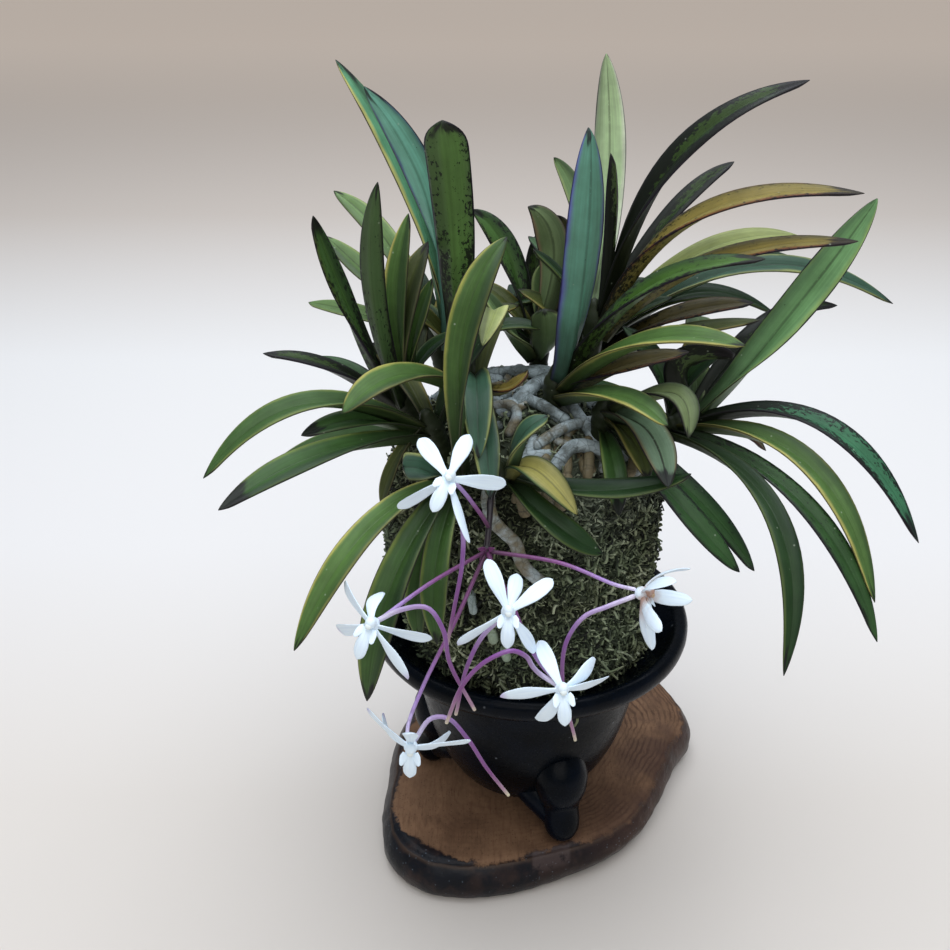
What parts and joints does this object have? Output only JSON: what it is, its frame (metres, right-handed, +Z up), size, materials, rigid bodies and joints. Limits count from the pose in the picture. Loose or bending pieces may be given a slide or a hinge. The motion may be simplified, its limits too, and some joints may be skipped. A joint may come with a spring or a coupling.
{
  "type": "potted wind orchid",
  "caption": "Clump of wind orchid with V-folded leaves, spurred flowers and silvery roots on a tall moss mound, in a footed glazed pot on a slice of wood.",
  "frame": {"origin": "middle of the pot's axis at the wooden stand's underside", "axes": "+Z up along the pot's axis, -Y towards the front, where the flowers hang, +X to the viewer's right from the front"},
  "size_m": [0.202, 0.1729, 0.2584],
  "materials": {
    "wood": "oiled",
    "glaze": "gloss",
    "moss": "rough, strandy dried moss",
    "root": "matt",
    "leaf": "satin, waxy living leaf",
    "stalk": "satin, living stem",
    "petal": "soft, living petal",
    "spur": "satin, living spur"
  },
  "bodies": {
    "root": {"stand": "wood", "pot": "glaze", "moss_mound": "moss", "roots": "root", "growth_left": "leaf", "growth_left_low": "leaf", "growth_front_left": "leaf", "growth_tall_left": "leaf", "growth_back_left": "leaf", "growth_inner": "leaf", "growth_back": "leaf", "growth_tall_right": "leaf", "growth_right_back": "leaf", "growth_right": "leaf", "growth_front": "leaf", "growth_right_front": "leaf", "growth_far_right": "leaf", "flower_stalk": "stalk", "bloom_1": "petal", "bloom_2": "petal", "bloom_3": "petal", "bloom_4": "petal", "bloom_5": "petal", "bloom_6": "petal", "spur_1": "spur", "spur_2": "spur", "spur_3": "spur", "spur_4": "spur", "spur_5": "spur", "spur_6": "spur"}
  },
  "joints": []
}
